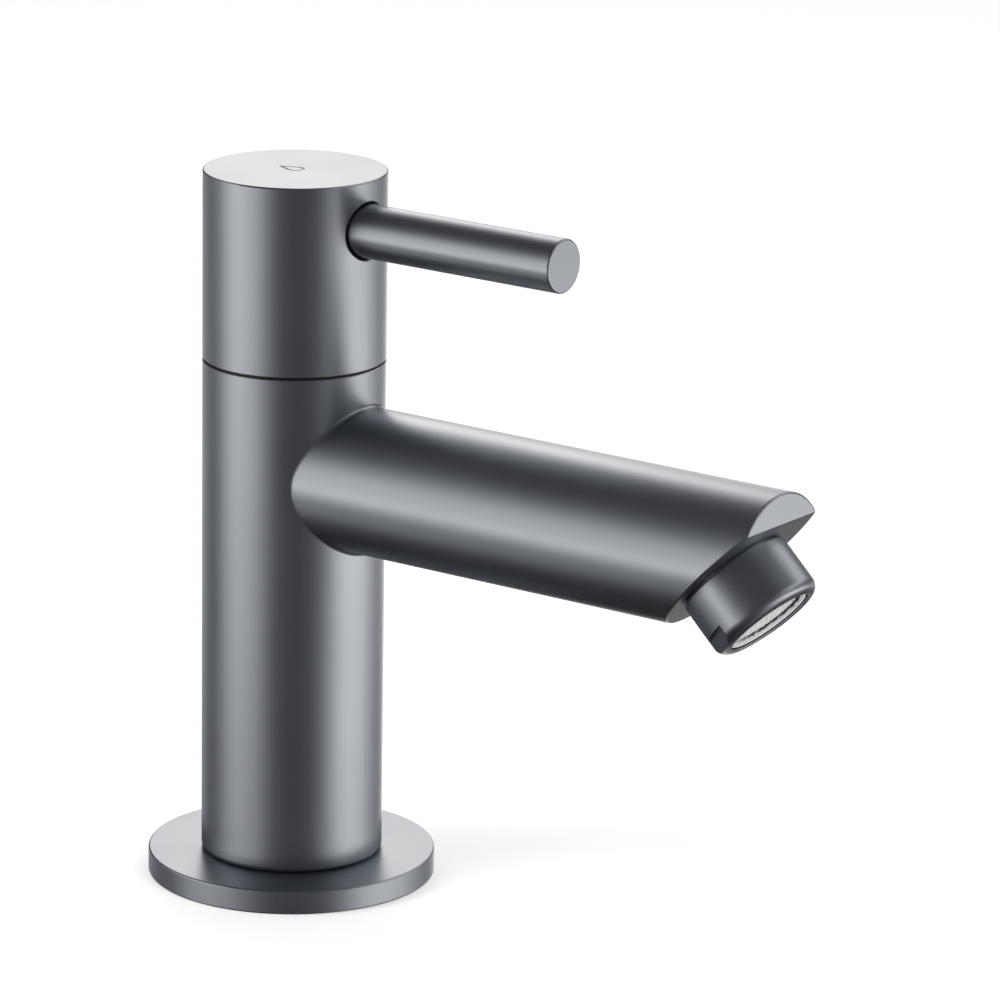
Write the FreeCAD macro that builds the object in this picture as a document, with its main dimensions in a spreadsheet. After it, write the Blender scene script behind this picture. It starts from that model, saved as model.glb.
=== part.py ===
import FreeCAD, Part
import math
import os
import re
import Sketcher
from FreeCAD import Vector

# A quarter-turn basin tap. Z is up, the origin is on the column's axis at the basin's deck,
# and the spout points along +X. Lengths are in millimetres and angles in degrees.

SIZES = {
    # Flange and deck gasket
    "flange_radius": 25.0,
    "flange_height": 4.2,
    "flange_edge": 0.3,
    "flange_gap": 0.15,
    "deck_gasket_inner": 17.0,
    "deck_gasket_width": 4.5,
    "deck_gasket_depth": 1.0,
    "groove_gap": 0.1,
    # Column
    "column_radius": 15.75,
    "column_top": 91.95,
    "column_edge": 0.15,
    "foot_round": 1.0,
    "waterway_radius": 5.5,
    "chamber_radius": 11.0,
    "recess_radius": 11.3,
    "recess_depth": 1.7,
    # Foot plug
    "plug_radius": 12.0,
    "plug_height": 18.0,
    "inlet_radius": 4.5,
    "inlet_offset": 6.0,
    "stud_radius": 3.4,
    "stud_offset": 6.6,
    "stud_depth": 12.0,
    "foot_ring_section": 0.6,
    "foot_ring_height": 2.1,
    # Spout
    "spout_radius": 12.6,
    "spout_height": 73.0,
    "spout_reach": 100.3,
    "spout_edge": 0.36,
    "root_round": 0.6,
    "spigot_radius": 9.0,
    "spigot_length": 4.4,
    "spout_bore": 5.2,
    "spout_bore_rise": 2.5,
    "spout_bore_stop": 20.4,
    "slant_angle": 45.8,
    "slant_back": 7.1,
    # Aerator seat in the spout
    "aerator_shift": 3.1,
    "outlet_radius": 6.2,
    "outlet_depth": 12.0,
    # Aerator housing
    "housing_radius": 9.9,
    "housing_length": 10.55,
    "housing_round": 1.9,
    "housing_standoff": 0.4,
    "housing_back_round": 0.25,
    "neck_radius": 8.95,
    "neck_depth": 5.0,
    "housing_wall": 0.7,
    "lip_radius": 7.7,
    "lip_height": 3.55,
    "lip_edge": 0.15,
    "flats_across": 18.0,
    "flats_length": 3.35,
    "flats_turn": 57.0,
    "aerator_washer": 1.5,
    # Aerator insert
    "insert_gap": 0.05,
    "rim_gap": 0.2,
    "rim_recess": 0.5,
    "sleeve_wall": 0.3,
    "sleeve_rim": 0.45,
    "sleeve_edge": 0.15,
    "mesh_recess": 0.6,
    "mesh_thickness": 0.5,
    "mesh_pitch": 1.0,
    "mesh_hole": 0.66,
    "mesh_border": 0.5,
    "mesh_rows": 15,
    "mesh_spacing": 0.15,
    "jet_plate_depth": 6.65,
    "jet_plate_height": 2.0,
    "jet_radius": 0.55,
    "jet_circle": 5.0,
    "strainer_wall": 0.8,
    "strainer_hole": 0.45,
    "strainer_circle": 4.6,
    "strainer_inner_circle": 2.4,
    # Valve
    "seat_drop": 13.0,
    "port_margin": 0.25,
    "fit_gap": 0.05,
    "running_gap": 0.08,
    "disc_gap": 0.25,
    "disc_film": 0.03,
    "seat_gasket_height": 2.0,
    "seat_gasket_proud": 0.4,
    "cup_radius": 9.0,
    "cup_bore": 7.65,
    "fixed_disc_height": 3.0,
    "moving_disc_height": 3.2,
    "port_inner": 2.0,
    "port_outer": 6.0,
    "port_angle": 76.0,
    "opening_angle": 84.0,
    "key_width": 3.0,
    "key_reach": 1.0,
    "window_width": 8.0,
    "tang_width": 2.0,
    "tang_depth": 1.2,
    "stop_flange_height": 3.8,
    "stop_key_angle": 38.0,
    "stop_slack": 1.0,
    "turn_angle": 90.0,
    "valve_thread_radius": 10.3,
    "relief_radius": 9.5,
    "collar_radius": 12.3,
    "collar_height": 1.6,
    "hexagon_across": 21.0,
    "hexagon_height": 5.0,
    "valve_ring_section": 0.78,
    # Spindle
    "spindle_radius": 4.92,
    "ring_groove_radius": 3.6,
    "ring_groove_width": 1.8,
    "ring_groove_rise": 3.0,
    "ring_groove_pitch": 6.0,
    "washer_height": 0.5,
    "washer_radius": 8.5,
    "axial_play": 0.05,
    "clip_height": 0.8,
    "clip_groove_radius": 4.1,
    "clip_radius": 6.4,
    "clip_mouth": 3.0,
    "spline_radius": 4.0,
    "spline_length": 7.5,
    "spline_depth": 0.45,
    "spline_width": 0.6,
    "screw_radius": 2.0,
    "screw_hole_depth": 8.0,
    # Cap, hub and lever
    "seam_gap": 0.35,
    "glide_height": 0.25,
    "glide_inset": 0.55,
    "glide_rise": 4.0,
    "total_height": 125.0,
    "cap_wall": 2.5,
    "cap_roof": 3.0,
    "cap_edge": 0.25,
    "drop_radius": 1.55,
    "drop_tip": 3.7,
    "drop_line": 0.38,
    "drop_depth": 0.12,
    "hub_boss_radius": 7.5,
    "hub_web": 2.0,
    "hub_well": 3.9,
    "hub_headroom": 0.4,
    "screw_head_radius": 3.5,
    "screw_head_height": 4.0,
    "screw_length": 10.0,
    "screw_socket": 1.7,
    "lever_radius": 4.62,
    "lever_reach": 56.2,
    "lever_drop": 8.5,
    "lever_seat": 12.0,
    "lever_edge": 0.3,
    "lever_gap": 0.32,
    "lever_hole_edge": 0.3,
    "tail_radius": 3.0,
    "tail_length": 7.0,
}

JETS = 18
STRAINER_HOLES = 22
STRAINER_INNER_HOLES = 11
SPLINES = 20
SOLVED = 1e-4

# Levels worked out from the sizes
SEAT = "(spout_height - seat_drop)"
CUP_BOTTOM = f"({SEAT} + seat_gasket_proud)"
FIXED_DISC = f"({SEAT} + seat_gasket_height)"
MOVING_DISC = f"({FIXED_DISC} + fixed_disc_height + disc_film)"
STOP_FLANGE = f"({MOVING_DISC} + moving_disc_height + axial_play)"
CUP_ROOF = f"({STOP_FLANGE} + stop_flange_height + disc_gap)"
CHAMBER_TOP = "(spout_height + spigot_radius + port_margin)"
RECESS_FLOOR = "(column_top - recess_depth)"
COLLAR_TOP = "(column_top + collar_height)"
VALVE_TOP = f"({COLLAR_TOP} + hexagon_height)"
CLIP = f"({VALVE_TOP} + washer_height + axial_play)"
HUB_BOTTOM = f"({CLIP} + clip_height + 3 * axial_play)"
SPINDLE_TOP = f"({HUB_BOTTOM} + spline_length)"
WEB_BOTTOM = f"({SPINDLE_TOP} + hub_headroom)"
WEB_TOP = f"({WEB_BOTTOM} + hub_web)"
CAP_BOTTOM = "(column_top + seam_gap)"
CAP_BORE = "(column_radius - cap_wall)"
CAP_CEILING = "(total_height - cap_roof)"
HUB_TOP = f"({CAP_CEILING} - hub_headroom)"
HUB_RADIUS = f"({CAP_BORE} - running_gap)"
LEVER_HEIGHT = "(total_height - lever_drop)"
SPINDLE_BORE = "(spindle_radius + running_gap)"
LOWER_GROOVE = f"({CUP_ROOF} + ring_groove_rise)"
UPPER_GROOVE = f"({LOWER_GROOVE} + ring_groove_pitch)"

# Radii and levels of the aerator, whose own Z runs out of the slanted face
HOUSING_BORE = "(neck_radius - housing_wall)"
LIP_FLOOR = "(housing_length - lip_height)"
SLEEVE_RADIUS = f"({HOUSING_BORE} - insert_gap)"
SLEEVE_BORE = f"({SLEEVE_RADIUS} - sleeve_wall)"
RIM_RADIUS = "(lip_radius - rim_gap)"
RIM_LEVEL = "(housing_length - rim_recess)"
MESH_LEVEL = f"({RIM_LEVEL} - mesh_recess)"
MESH_SEAT_RADIUS = f"({RIM_RADIUS} - sleeve_wall)"
MESH_RADIUS = f"({MESH_SEAT_RADIUS} - insert_gap)"
JET_LEVEL = "(housing_length - jet_plate_depth)"
INSERT_TOP = "(insert_gap - neck_depth)"
WASHER_TOP = "(0 - neck_depth - aerator_washer)"
INSERT_RADIUS = f"({SLEEVE_BORE} - insert_gap)"
AERATOR_X = "(spout_reach - slant_back - aerator_shift * cos(slant_angle))"
AERATOR_Z = "(spout_height - aerator_shift * sin(slant_angle))"

doc = FreeCAD.newDocument("basin_tap")
sheet = doc.addObject("Spreadsheet::Sheet", "sizes")
for row, (name, size) in enumerate(SIZES.items(), 1):
    sheet.set(f"A{row}", name)
    sheet.set(f"B{row}", str(size))
    sheet.setAlias(f"B{row}", name)
doc.recompute()


def bound(text):
    """Points each size named in an expression at its cell."""
    return re.sub(r"[a-z]\w*", lambda word: f"sizes.{word[0]}" if word[0] in SIZES else word[0], text)


def value(text):
    return float(sheet.evalExpression(bound(text)))


def bind(item, **expressions):
    for name, text in expressions.items():
        item.setExpression(name.replace("__", "."), bound(text))


def place(item, x="0", y="0", z="0", axis="0; 0; 1", angle="0"):
    bind(item, Placement=f"placement(vector({x}; {y}; {z}); rotation(vector({axis}); {angle}))")


def new_body(name):
    body = doc.addObject("PartDesign::Body", name)
    body.Label = name
    return body


def new_sketch(body, name, plane, x="0", y="0", lift="0", angle="0"):
    """A sketch on one of the body's own planes, shifted and turned in that plane."""
    sketch = body.newObject("Sketcher::SketchObject", name)
    origin_plane = next(item for item in body.Origin.OriginFeatures if item.Role == plane)
    sketch.AttachmentSupport = [(origin_plane, "")]
    sketch.MapMode = "FlatFace"
    turn = f"rotation(vector(0; 0; 1); {angle})"
    bind(sketch, AttachmentOffset=f"placement(vector({x}; {y}; {lift}); {turn})")
    return sketch


def outline(sketch, corners):
    """A closed outline of straight edges through corners given as expressions."""
    first = sketch.GeometryCount
    points = [Vector(value(x), value(y), 0) for x, y in corners]
    count = len(points)
    lines = [Part.LineSegment(points[i], points[(i + 1) % count]) for i in range(count)]
    sketch.addGeometry(lines, False)
    for i in range(count):
        sketch.addConstraint(Sketcher.Constraint("Coincident", first + i, 2, first + (i + 1) % count, 1))
    for i, corner in enumerate(corners):
        for kind, text in zip(("DistanceX", "DistanceY"), corner):
            index = sketch.addConstraint(Sketcher.Constraint(kind, -1, 1, first + i, 1, value(text)))
            sketch.setExpression(f"Constraints[{index}]", bound(text))


def circle(sketch, radius, x="0", y="0"):
    centre = Vector(value(x), value(y), 0)
    index = sketch.addGeometry(Part.Circle(centre, Vector(0, 0, 1), value(radius)), False)
    for kind, text in (("DistanceX", x), ("DistanceY", y)):
        constraint = sketch.addConstraint(Sketcher.Constraint(kind, -1, 1, index, 3, value(text)))
        sketch.setExpression(f"Constraints[{constraint}]", bound(text))
    constraint = sketch.addConstraint(Sketcher.Constraint("Radius", index, value(radius)))
    sketch.setExpression(f"Constraints[{constraint}]", bound(radius))


def rectangle(sketch, x0, x1, y0, y1):
    outline(sketch, [(x0, y0), (x1, y0), (x1, y1), (x0, y1)])


def finish_feature(body, feature):
    body.Tip = feature
    doc.recompute()
    return feature


def revolve(body, sketch, name, kind="Revolution"):
    feature = body.newObject(f"PartDesign::{kind}", name)
    feature.Profile = sketch
    feature.ReferenceAxis = (sketch, ["V_Axis"])
    feature.Angle = 360
    return finish_feature(body, feature)


def extrude(body, sketch, name, length, kind="Pocket", reverse=False):
    """A pad or a pocket; an unreversed pocket runs against the sketch's normal."""
    before = body.Shape.Volume if body.Tip else 0
    feature = body.newObject(f"PartDesign::{kind}", name)
    feature.Profile = sketch
    feature.Reversed = reverse
    bind(feature, Length=length)
    finish_feature(body, feature)
    grown = body.Shape.Volume - before
    if abs(grown) < SOLVED or (grown > 0) != (kind == "Pad"):
        raise RuntimeError(f"{name} doesn't work as a {kind.lower()}")
    return feature


def turned(name, corners):
    """A body turned from one closed outline of radius and height."""
    body = new_body(name)
    sketch = new_sketch(body, f"{name}_outline", "XZ_Plane")
    outline(sketch, corners)
    revolve(body, sketch, f"{name}_turned")
    return body


def around(body, feature, name, count):
    """Repeats one feature round the body's Z axis."""
    pattern = body.newObject("PartDesign::PolarPattern", name)
    pattern.Originals = [feature]
    axis = next(item for item in body.Origin.OriginFeatures if item.Role == "Z_Axis")
    pattern.Axis = (axis, [""])
    pattern.Angle = 360
    pattern.Occurrences = count
    return finish_feature(body, pattern)


def rims(body, radius, height):
    """The body's round edges about Z with this radius, at this height."""
    found = []
    for number, edge in enumerate(body.Tip.Shape.Edges, 1):
        if not isinstance(edge.Curve, Part.Circle):
            continue
        centre = edge.Curve.Center
        if max(abs(edge.Curve.Radius - value(radius)), abs(centre.z - value(height))) < SOLVED:
            found.append(f"Edge{number}")
    return found


def soften(body, name, edges, size, kind="Fillet"):
    """Rounds or chamfers edges of the body's last feature."""
    if not edges:
        raise RuntimeError(f"{name} finds no edge")
    base = body.Tip
    feature = body.newObject(f"PartDesign::{kind}", name)
    feature.Base = (base, edges)
    bind(feature, **{"Radius" if kind == "Fillet" else "Size": size})
    return finish_feature(body, feature)


def cylinder(name, radius, height, z="0", angle=None, turn="0"):
    """A cylinder about Z, or a sector of it centred on a direction."""
    item = doc.addObject("Part::Cylinder", name)
    bind(item, Radius=radius, Height=height)
    if angle:
        bind(item, Angle=angle)
        turn = f"{turn} - ({angle}) / 2"
    place(item, z=z, angle=turn)
    return item


def block(name, x, y, z):
    """A box given by the low and high expression along each axis."""
    item = doc.addObject("Part::Box", name)
    bind(item, Length=f"{x[1]} - ({x[0]})", Width=f"{y[1]} - ({y[0]})", Height=f"{z[1]} - ({z[0]})")
    place(item, x[0], y[0], z[0])
    return item


def torus(name, centre_radius, section_radius, z):
    item = doc.addObject("Part::Torus", name)
    item.Label = name
    bind(item, Radius1=centre_radius, Radius2=section_radius)
    place(item, z=z)
    return item


def joined(name, pieces):
    item = doc.addObject("Part::MultiFuse", name)
    item.Shapes = pieces
    item.Label = name
    doc.recompute()
    return item


def cut_away(name, base, tools):
    """The base with every tool taken away, each of which has to cut it."""
    before = base.Shape.Volume
    item = doc.addObject("Part::Cut", name)
    item.Base = base
    item.Tool = tools[0] if len(tools) == 1 else joined(f"{name}_tools", tools)
    item.Label = name
    doc.recompute()
    if item.Shape.Volume >= before:
        raise RuntimeError(f"{name} is not cut")
    return item


def make_base_flange():
    """The cover plate, with the gasket's groove in its underside."""
    bore = "(plug_radius + flange_gap)"
    groove_in = "(deck_gasket_inner - groove_gap)"
    groove_out = "(deck_gasket_inner + deck_gasket_width + groove_gap)"
    body = turned("base_flange", [
        (bore, "0"), (groove_in, "0"), (groove_in, "deck_gasket_depth"),
        (groove_out, "deck_gasket_depth"), (groove_out, "0"), ("flange_radius", "0"),
        ("flange_radius", "flange_height"), (bore, "flange_height")])
    edges = rims(body, "flange_radius", "flange_height") + rims(body, "flange_radius", "0")
    soften(body, "flange_edges", edges, "flange_edge")
    return body


def make_deck_gasket():
    outer = "(deck_gasket_inner + deck_gasket_width)"
    return turned("deck_gasket", [
        ("deck_gasket_inner", "0"), (outer, "0"),
        (outer, "deck_gasket_depth"), ("deck_gasket_inner", "deck_gasket_depth")])


def make_foot_plug():
    """The plug in the column's foot, with the supply hole through it and a blind stud hole."""
    groove = "(plug_radius + flange_gap - 2 * foot_ring_section - fit_gap)"
    low = "(foot_ring_height - foot_ring_section - fit_gap)"
    high = "(foot_ring_height + foot_ring_section + fit_gap)"
    body = turned("foot_plug", [
        ("0", "0"), ("plug_radius", "0"), ("plug_radius", low), (groove, low), (groove, high),
        ("plug_radius", high), ("plug_radius", "plug_height"), ("0", "plug_height")])
    supply = new_sketch(body, "supply_circle", "XY_Plane")
    circle(supply, "inlet_radius", x="0 - inlet_offset")
    extrude(body, supply, "supply_hole", "plug_height", reverse=True)
    stud = new_sketch(body, "stud_circle", "XY_Plane")
    circle(stud, "stud_radius", x="stud_offset")
    extrude(body, stud, "stud_hole", "stud_depth", reverse=True)
    return body


def make_foot_o_ring():
    centre = "plug_radius + flange_gap - foot_ring_section - fit_gap / 2"
    return torus("foot_o_ring", centre, "foot_ring_section", "foot_ring_height")


def make_column():
    """The upright body: a socket for the plug, the waterway, the valve's chamber and its thread."""
    socket = "(plug_radius + fit_gap)"
    thread = "(valve_thread_radius + fit_gap)"
    body = turned("column", [
        (socket, "flange_height"), ("column_radius", "flange_height"), ("column_radius", "column_top"),
        ("recess_radius", "column_top"), ("recess_radius", RECESS_FLOOR), (thread, RECESS_FLOOR),
        (thread, CHAMBER_TOP), ("chamber_radius", CHAMBER_TOP), ("chamber_radius", SEAT),
        ("waterway_radius", SEAT), ("waterway_radius", "plug_height"), (socket, "plug_height")])
    soften(body, "column_foot", rims(body, "column_radius", "flange_height"), "foot_round")
    soften(body, "column_rim", rims(body, "column_radius", "column_top"), "column_edge", "Chamfer")
    port = new_sketch(body, "port_circle", "YZ_Plane")
    circle(port, "spigot_radius + fit_gap", y="spout_height")
    extrude(body, port, "spout_port", "column_radius + fit_gap", reverse=True)
    return body


def make_spout():
    """The bar spout: coped to the column, drilled above its axis, cut at a slant, with a seat."""
    body = new_body("spout")
    stub = new_sketch(body, "cope_circle", "XY_Plane", lift="spout_height - 1.5 * spout_radius")
    circle(stub, "column_radius")
    extrude(body, stub, "cope_stub", "3 * spout_radius", "Pad")
    bar = new_sketch(body, "bar_circle", "YZ_Plane")
    circle(bar, "spout_radius", y="spout_height")
    extrude(body, bar, "spout_bar", "spout_reach", "Pad")

    root = []
    for number, edge in enumerate(body.Tip.Shape.Edges, 1):
        middle = edge.valueAt((edge.FirstParameter + edge.LastParameter) / 2)
        flat = isinstance(edge.Curve, (Part.Line, Part.Circle))
        if not flat and 0 < middle.x < value("column_radius + 1"):
            root.append(f"Edge{number}")
    soften(body, "root_rounding", root, "root_round")

    cope = new_sketch(body, "cope_cut_circle", "XY_Plane", lift="spout_height + 2 * spout_radius")
    circle(cope, "column_radius")
    extrude(body, cope, "cope_cut", "4 * spout_radius")
    spigot = new_sketch(body, "spigot_circle", "YZ_Plane", lift="column_radius - spigot_length")
    circle(spigot, "spigot_radius", y="spout_height")
    extrude(body, spigot, "spigot", "2 * spigot_length", "Pad")
    drill = new_sketch(body, "waterway_circle", "YZ_Plane")
    circle(drill, "spout_bore", y="spout_height + spout_bore_rise")
    extrude(body, drill, "spout_waterway", "spout_reach - spout_bore_stop", reverse=True)

    # The slanted cut is a half plane drawn in axes that lie along and across the slanted face.
    cutter = new_sketch(body, "slant_outline", "XZ_Plane", x="spout_reach - slant_back",
                        y="spout_height", lift="2 * spout_radius", angle="slant_angle")
    rectangle(cutter, "0 - spout_reach", "spout_reach", "0 - spout_reach", "0")
    extrude(body, cutter, "slant_cut", "4 * spout_radius")

    edges = []
    for number, edge in enumerate(body.Tip.Shape.Edges, 1):
        middle = edge.valueAt((edge.FirstParameter + edge.LastParameter) / 2)
        if middle.x > value("spout_reach - 2.5 * spout_radius"):
            axis_distance = (middle.y ** 2 + (middle.z - value("spout_height")) ** 2) ** 0.5
            straight = isinstance(edge.Curve, Part.Line)
            if straight and abs(middle.y) < SOLVED or abs(axis_distance - value("spout_radius")) < SOLVED:
                edges.append(f"Edge{number}")
    soften(body, "spout_edges", edges, "spout_edge")

    seat = new_sketch(body, "aerator_seat_outline", "XZ_Plane", x=AERATOR_X, y=AERATOR_Z,
                      angle="slant_angle")
    bore = "(neck_radius + fit_gap)"
    ledge = "(neck_depth + aerator_washer)"
    outline(seat, [
        ("0", "0 - 1"), (bore, "0 - 1"), (bore, ledge), ("outlet_radius", ledge),
        ("outlet_radius", "outlet_depth"), ("0", "outlet_depth")])
    revolve(body, seat, "aerator_seat", "Groove")
    return body


def at_aerator(item, turn="0"):
    """Stands a piece on the aerator's axis, so that its own Z runs out of the slanted face."""
    position = f"vector({AERATOR_X}; 0; {AERATOR_Z})"
    lean = "rotation(vector(0; 1; 0); 180 - slant_angle)"
    bind(item, Placement=f"placement({position}; {lean} * rotation(vector(0; 0; 1); {turn}))")
    return item


def pierce(body, name, radius, ring, top, depth, count):
    """A ring of round holes, cut down from a level."""
    sketch = new_sketch(body, f"{name}_circle", "XY_Plane", lift=top)
    circle(sketch, radius, x=ring)
    around(body, extrude(body, sketch, name, depth), f"{name}_ring", count)


def make_aerator_housing():
    body = turned("aerator_housing", [
        ("neck_radius", "0 - neck_depth"), ("neck_radius", "housing_standoff"),
        ("housing_radius", "housing_standoff"), ("housing_radius", "housing_length"),
        ("lip_radius", "housing_length"), ("lip_radius", LIP_FLOOR), (HOUSING_BORE, LIP_FLOOR),
        (HOUSING_BORE, "0 - neck_depth")])
    soften(body, "housing_rim", rims(body, "housing_radius", "housing_length"), "housing_round")
    back = rims(body, "housing_radius", "housing_standoff")
    soften(body, "housing_back_rim", back, "housing_back_round")
    soften(body, "lip_rim", rims(body, "lip_radius", "housing_length"), "lip_edge")
    flats = new_sketch(body, "flats_outline", "XY_Plane", lift="housing_length",
                       angle="0 - flats_turn")
    for side in ("", "0 - "):
        rectangle(flats, f"{side}flats_across / 2", f"{side}2 * housing_radius",
                  "0 - housing_radius", "housing_radius")
    extrude(body, flats, "spanner_flats", "flats_length")
    return at_aerator(body)


def make_aerator_gasket():
    return at_aerator(turned("aerator_gasket", [
        ("outlet_radius", WASHER_TOP), ("neck_radius - groove_gap", WASHER_TOP),
        ("neck_radius - groove_gap", "0 - neck_depth"), ("outlet_radius", "0 - neck_depth")]))


def make_aerator_sleeve():
    rim_bore = f"({RIM_RADIUS} - sleeve_rim)"
    shoulder = f"({LIP_FLOOR} - insert_gap)"
    body = turned("aerator_sleeve", [
        (SLEEVE_BORE, INSERT_TOP), (SLEEVE_RADIUS, INSERT_TOP), (SLEEVE_RADIUS, shoulder),
        (RIM_RADIUS, shoulder), (RIM_RADIUS, RIM_LEVEL), (rim_bore, RIM_LEVEL),
        (rim_bore, MESH_LEVEL), (MESH_SEAT_RADIUS, MESH_LEVEL), (MESH_SEAT_RADIUS, JET_LEVEL),
        (SLEEVE_BORE, JET_LEVEL)])
    edges = rims(body, RIM_RADIUS, RIM_LEVEL) + rims(body, rim_bore, RIM_LEVEL)
    soften(body, "sleeve_rim_edges", edges, "sleeve_edge")
    return at_aerator(body)


def make_mesh(name, top, turn):
    """A flat net: a square plate with rows of square holes, cut round and closed with a border."""
    body = new_body(name)
    half_plate = "((mesh_rows + 1) * mesh_pitch / 2)"
    plate = new_sketch(body, f"{name}_plate", "XY_Plane", lift=f"{top} - mesh_thickness")
    rectangle(plate, f"0 - {half_plate}", half_plate, f"0 - {half_plate}", half_plate)
    extrude(body, plate, f"{name}_sheet", "mesh_thickness", "Pad")
    hole = new_sketch(body, f"{name}_hole", "XY_Plane", lift=top)
    low = "((1 - mesh_rows) * mesh_pitch / 2 - mesh_hole / 2)"
    high = "((1 - mesh_rows) * mesh_pitch / 2 + mesh_hole / 2)"
    rectangle(hole, low, high, low, high)
    first = extrude(body, hole, f"{name}_first_hole", "mesh_thickness")
    rows = body.newObject("PartDesign::LinearPattern", f"{name}_holes")
    rows.Originals = [first]
    axes = {item.Role: item for item in body.Origin.OriginFeatures}
    rows.Direction = (axes["X_Axis"], [""])
    rows.Direction2 = (axes["Y_Axis"], [""])
    span = "(mesh_rows - 1) * mesh_pitch"
    bind(rows, Length=span, Length2=span, Occurrences="mesh_rows", Occurrences2="mesh_rows")
    finish_feature(body, rows)
    waste = new_sketch(body, f"{name}_waste", "XY_Plane", lift=top)
    circle(waste, f"({MESH_RADIUS} - mesh_border / 2)")
    circle(waste, f"(2 * {half_plate})")
    extrude(body, waste, f"{name}_trim", "mesh_thickness")
    border = new_sketch(body, f"{name}_border", "XY_Plane", lift=f"{top} - mesh_thickness")
    circle(border, f"({MESH_RADIUS} - mesh_border)")
    circle(border, MESH_RADIUS)
    extrude(body, border, f"{name}_ring", "mesh_thickness", "Pad")
    return at_aerator(body, turn)


def make_jet_plate():
    plate = turned("jet_plate", [
        ("0", f"{JET_LEVEL} - jet_plate_height"), (INSERT_RADIUS, f"{JET_LEVEL} - jet_plate_height"),
        (INSERT_RADIUS, JET_LEVEL), ("0", JET_LEVEL)])
    pierce(plate, "jet", "jet_radius", "jet_circle", JET_LEVEL, "jet_plate_height", JETS)
    return at_aerator(plate)


def make_inlet_strainer():
    """A cup with two rings of holes in its roof, whose skirt stands on the jet plate."""
    bore = f"({INSERT_RADIUS} - strainer_wall)"
    foot = f"({JET_LEVEL} - jet_plate_height)"
    cup = turned("inlet_strainer", [
        ("0", INSERT_TOP), (INSERT_RADIUS, INSERT_TOP), (INSERT_RADIUS, foot), (bore, foot),
        (bore, f"{INSERT_TOP} + strainer_wall"), ("0", f"{INSERT_TOP} + strainer_wall")])
    roof = f"{INSERT_TOP} + strainer_wall"
    pierce(cup, "outer_hole", "strainer_hole", "strainer_circle", roof, "strainer_wall",
           STRAINER_HOLES)
    pierce(cup, "inner_hole", "strainer_hole", "strainer_inner_circle", roof, "strainer_wall",
           STRAINER_INNER_HOLES)
    return at_aerator(cup)


def make_headwork_body():
    """The valve body: a cup for the discs, a thread, a collar and a hexagon round the spindle."""
    relief_foot = f"({RECESS_FLOOR} - groove_gap)"
    thread_foot = f"({CHAMBER_TOP} + groove_gap)"
    shell = turned("valve_shell", [
        ("cup_bore", CUP_BOTTOM), ("cup_radius", CUP_BOTTOM), ("cup_radius", thread_foot),
        ("valve_thread_radius", thread_foot), ("valve_thread_radius", relief_foot),
        ("relief_radius", relief_foot), ("relief_radius", "column_top"),
        ("collar_radius", "column_top"), ("collar_radius", COLLAR_TOP), (SPINDLE_BORE, COLLAR_TOP),
        (SPINDLE_BORE, CUP_ROOF), ("cup_bore", CUP_ROOF)])
    flats = new_sketch(shell, "hexagon_outline", "XY_Plane", lift=COLLAR_TOP)
    corner = "(hexagon_across / 2 / cos(30))"
    outline(flats, [(f"{corner} * cos({60 * i})", f"{corner} * sin({60 * i})") for i in range(6)])
    circle(flats, SPINDLE_BORE)
    extrude(shell, flats, "hexagon", "hexagon_height", "Pad")

    stop_height = "(stop_flange_height - axial_play)"
    wall = "(cup_bore + fit_gap)"
    ring = cylinder("stop_key_blank", wall, stop_height, f"{CUP_ROOF} - {stop_height}",
                    "stop_key_angle", "0 - 90")
    core = cylinder("stop_key_core", f"{SPINDLE_BORE} + disc_gap", stop_height,
                    f"{CUP_ROOF} - {stop_height}")
    doc.recompute()
    stop_key = cut_away("stop_key", ring, [core])
    body = joined("keyed_shell", [shell, stop_key])
    reach = "2 * cup_radius"
    windows = block("windows", (f"0 - {reach}", reach), ("0 - window_width / 2", "window_width / 2"),
                    (MOVING_DISC, STOP_FLANGE))
    half_key = "(key_width / 2 + groove_gap)"
    keyways = block("keyways", (f"0 - {half_key}", half_key), (f"0 - {reach}", reach),
                    (f"{CUP_BOTTOM} - 1", f"{MOVING_DISC} + disc_film"))
    doc.recompute()
    return cut_away("headwork_body", body, [windows, keyways])


def make_fixed_disc():
    """The lower ceramic disc, with two sector ports and two keys."""
    disc = cylinder("fixed_blank", "cup_bore - fit_gap", "fixed_disc_height", FIXED_DISC)
    reach = "(cup_bore + key_reach)"
    keys = block("fixed_keys", ("0 - key_width / 2", "key_width / 2"), (f"0 - {reach}", reach),
                 (FIXED_DISC, f"{FIXED_DISC} + fixed_disc_height"))
    doc.recompute()
    blank = joined("keyed_disc", [disc, keys])
    ports = []
    for side, turn in (("front", "0"), ("back", "180")):
        sector = cylinder(f"{side}_port_sector", "port_outer", "fixed_disc_height", FIXED_DISC,
                          "port_angle", turn)
        hub = cylinder(f"{side}_port_hub", "port_inner", "fixed_disc_height", FIXED_DISC)
        doc.recompute()
        ports.append(cut_away(f"{side}_port", sector, [hub]))
    return cut_away("fixed_disc", blank, ports)


def make_moving_disc():
    """The upper ceramic disc, open on two sides, with a slot for the spindle's tang."""
    disc = cylinder("moving_blank", "cup_bore - disc_gap", "moving_disc_height", MOVING_DISC)
    openings = []
    for side, turn in (("left", "90"), ("right", "0 - 90")):
        sector = cylinder(f"{side}_opening_sector", "2 * cup_bore", "moving_disc_height", MOVING_DISC,
                          "opening_angle", turn)
        hub = cylinder(f"{side}_opening_hub", "port_inner", "moving_disc_height", MOVING_DISC)
        doc.recompute()
        openings.append(cut_away(f"{side}_opening", sector, [hub]))
    half_slot = "(tang_width / 2 + fit_gap)"
    top = f"({MOVING_DISC} + moving_disc_height)"
    slot = block("drive_slot", ("0 - cup_bore", "cup_bore"), (f"0 - {half_slot}", half_slot),
                 (f"{top} - tang_depth - groove_gap", top))
    doc.recompute()
    return cut_away("moving_disc", disc, openings + [slot])


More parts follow.
